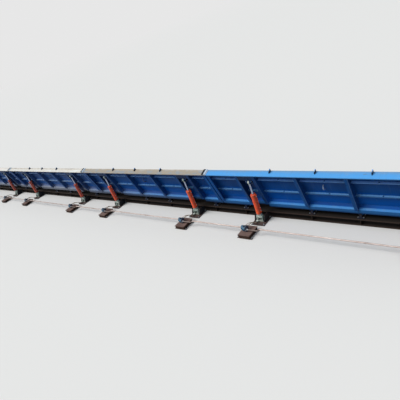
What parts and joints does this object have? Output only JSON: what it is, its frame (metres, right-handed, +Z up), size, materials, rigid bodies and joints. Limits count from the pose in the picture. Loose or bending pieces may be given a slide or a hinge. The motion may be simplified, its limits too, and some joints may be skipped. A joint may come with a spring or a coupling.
{
  "type": "sluice gate",
  "caption": "Bottom-hinged hydraulic flap sluice gate: a row of ribbed steel leaves that cylinders lower downstream to let a river through.",
  "frame": {"origin": "on the underside of the sill beam, under the hinge axis, at the middle of the gate", "axes": "+X along the gate, +Y upstream, +Z up; the leaves stand raised and fall towards -Y"},
  "size_m": [24.72, 1.295, 1.5982],
  "materials": {
    "blue_paint": "weathered satin enamel with dirt streaks",
    "deep_blue_paint": "weathered satin enamel in shade, with silt",
    "sky_blue_paint": "clean satin enamel",
    "silted_paint": "blue enamel under a dried coat of pale silt",
    "galvanized_steel": "dull zinc",
    "seal_rubber": "matt, dusty",
    "orange_paint": "semi-gloss enamel, dusty",
    "rod_chrome": "polished, with a film of oil",
    "pale_green_paint": "chalky primer with silt",
    "rusty_plate": "rusty plate under silt",
    "valve_paint": "dark satin enamel",
    "coupling_paint": "satin enamel",
    "oil_pipe_steel": "dull steel with a pinkish film of silt",
    "hose_rubber": "matt cream cover, dusty"
  },
  "bodies": {
    "base": {"sill_beam": "deep_blue_paint", "bottom_seals": "seal_rubber", "hinge_bearings": "blue_paint", "cylinder_frames": "deep_blue_paint", "foot_clevises": "pale_green_paint", "valve_plates": "rusty_plate", "valve_blocks": "valve_paint", "valve_couplings": "coupling_paint", "main_pipe": "oil_pipe_steel", "hoses": "hose_rubber"},
    "leaf1": {"leaf1_skin_plate": "blue_paint", "leaf1_crest_cap": "silted_paint", "leaf1_ribs": "blue_paint", "leaf1_rails": "deep_blue_paint", "leaf1_bottom_beam": "blue_paint", "leaf1_rod_brackets": "blue_paint", "leaf1_splitters": "deep_blue_paint", "leaf1_lifting_ring": "galvanized_steel", "leaf1_side_seals": "seal_rubber"},
    "barrels1": {"leaf1_barrels": "orange_paint"},
    "rods1": {"leaf1_rods": "rod_chrome"},
    "leaf2": {"leaf2_skin_plate": "blue_paint", "leaf2_crest_cap": "silted_paint", "leaf2_ribs": "blue_paint", "leaf2_rails": "deep_blue_paint", "leaf2_bottom_beam": "blue_paint", "leaf2_rod_brackets": "blue_paint", "leaf2_splitters": "deep_blue_paint", "leaf2_lifting_ring": "galvanized_steel", "leaf2_side_seals": "seal_rubber"},
    "barrels2": {"leaf2_barrels": "orange_paint"},
    "rods2": {"leaf2_rods": "rod_chrome"},
    "leaf3": {"leaf3_skin_plate": "blue_paint", "leaf3_crest_cap": "silted_paint", "leaf3_ribs": "blue_paint", "leaf3_rails": "deep_blue_paint", "leaf3_bottom_beam": "blue_paint", "leaf3_rod_brackets": "blue_paint", "leaf3_splitters": "deep_blue_paint", "leaf3_lifting_ring": "galvanized_steel", "leaf3_side_seals": "seal_rubber"},
    "barrels3": {"leaf3_barrels": "orange_paint"},
    "rods3": {"leaf3_rods": "rod_chrome"},
    "leaf4": {"leaf4_skin_plate": "blue_paint", "leaf4_crest_cap": "sky_blue_paint", "leaf4_ribs": "blue_paint", "leaf4_rails": "deep_blue_paint", "leaf4_bottom_beam": "blue_paint", "leaf4_rod_brackets": "blue_paint", "leaf4_splitters": "deep_blue_paint", "leaf4_lifting_ring": "galvanized_steel", "leaf4_side_seals": "seal_rubber"},
    "barrels4": {"leaf4_barrels": "orange_paint"},
    "rods4": {"leaf4_rods": "rod_chrome"}
  },
  "joints": [
    {"name": "leaf1_hinge", "type": "hinge", "parent": "base", "child": "leaf1", "pos_m": [-9.27, 0, 0.284], "axis": [1, 0, 0], "range_deg": [0, 50]},
    {"name": "leaf1_cylinder_swing", "type": "hinge", "parent": "base", "child": "barrels1", "pos_m": [-9.27, -0.335, 0.15], "axis": [1, 0, 0], "range_deg": [0, 51.87]},
    {"name": "leaf1_rod_slide", "type": "slide", "parent": "barrels1", "child": "rods1", "axis": [0, -0.0276, 0.9996], "range_m": [-0.304, 0]},
    {"name": "leaf2_hinge", "type": "hinge", "parent": "base", "child": "leaf2", "pos_m": [-3.09, 0, 0.284], "axis": [1, 0, 0], "range_deg": [0, 50]},
    {"name": "leaf2_cylinder_swing", "type": "hinge", "parent": "base", "child": "barrels2", "pos_m": [-3.09, -0.335, 0.15], "axis": [1, 0, 0], "range_deg": [0, 51.87]},
    {"name": "leaf2_rod_slide", "type": "slide", "parent": "barrels2", "child": "rods2", "axis": [0, -0.0276, 0.9996], "range_m": [-0.304, 0]},
    {"name": "leaf3_hinge", "type": "hinge", "parent": "base", "child": "leaf3", "pos_m": [3.09, 0, 0.284], "axis": [1, 0, 0], "range_deg": [0, 50]},
    {"name": "leaf3_cylinder_swing", "type": "hinge", "parent": "base", "child": "barrels3", "pos_m": [3.09, -0.335, 0.15], "axis": [1, 0, 0], "range_deg": [0, 51.87]},
    {"name": "leaf3_rod_slide", "type": "slide", "parent": "barrels3", "child": "rods3", "axis": [0, -0.0276, 0.9996], "range_m": [-0.304, 0]},
    {"name": "leaf4_hinge", "type": "hinge", "parent": "base", "child": "leaf4", "pos_m": [9.27, 0, 0.284], "axis": [1, 0, 0], "range_deg": [0, 50]},
    {"name": "leaf4_cylinder_swing", "type": "hinge", "parent": "base", "child": "barrels4", "pos_m": [9.27, -0.335, 0.15], "axis": [1, 0, 0], "range_deg": [0, 51.87]},
    {"name": "leaf4_rod_slide", "type": "slide", "parent": "barrels4", "child": "rods4", "axis": [0, -0.0276, 0.9996], "range_m": [-0.304, 0]}
  ],
  "couplings": [
    {"joint": "leaf1_cylinder_swing", "follows": "leaf1_hinge", "ratio": 1.0373},
    {"joint": "leaf1_rod_slide", "follows": "leaf1_hinge", "m_per_rad": -0.34778},
    {"joint": "leaf2_cylinder_swing", "follows": "leaf2_hinge", "ratio": 1.0373},
    {"joint": "leaf2_rod_slide", "follows": "leaf2_hinge", "m_per_rad": -0.34778},
    {"joint": "leaf3_cylinder_swing", "follows": "leaf3_hinge", "ratio": 1.0373},
    {"joint": "leaf3_rod_slide", "follows": "leaf3_hinge", "m_per_rad": -0.34778},
    {"joint": "leaf4_cylinder_swing", "follows": "leaf4_hinge", "ratio": 1.0373},
    {"joint": "leaf4_rod_slide", "follows": "leaf4_hinge", "m_per_rad": -0.34778}
  ]
}
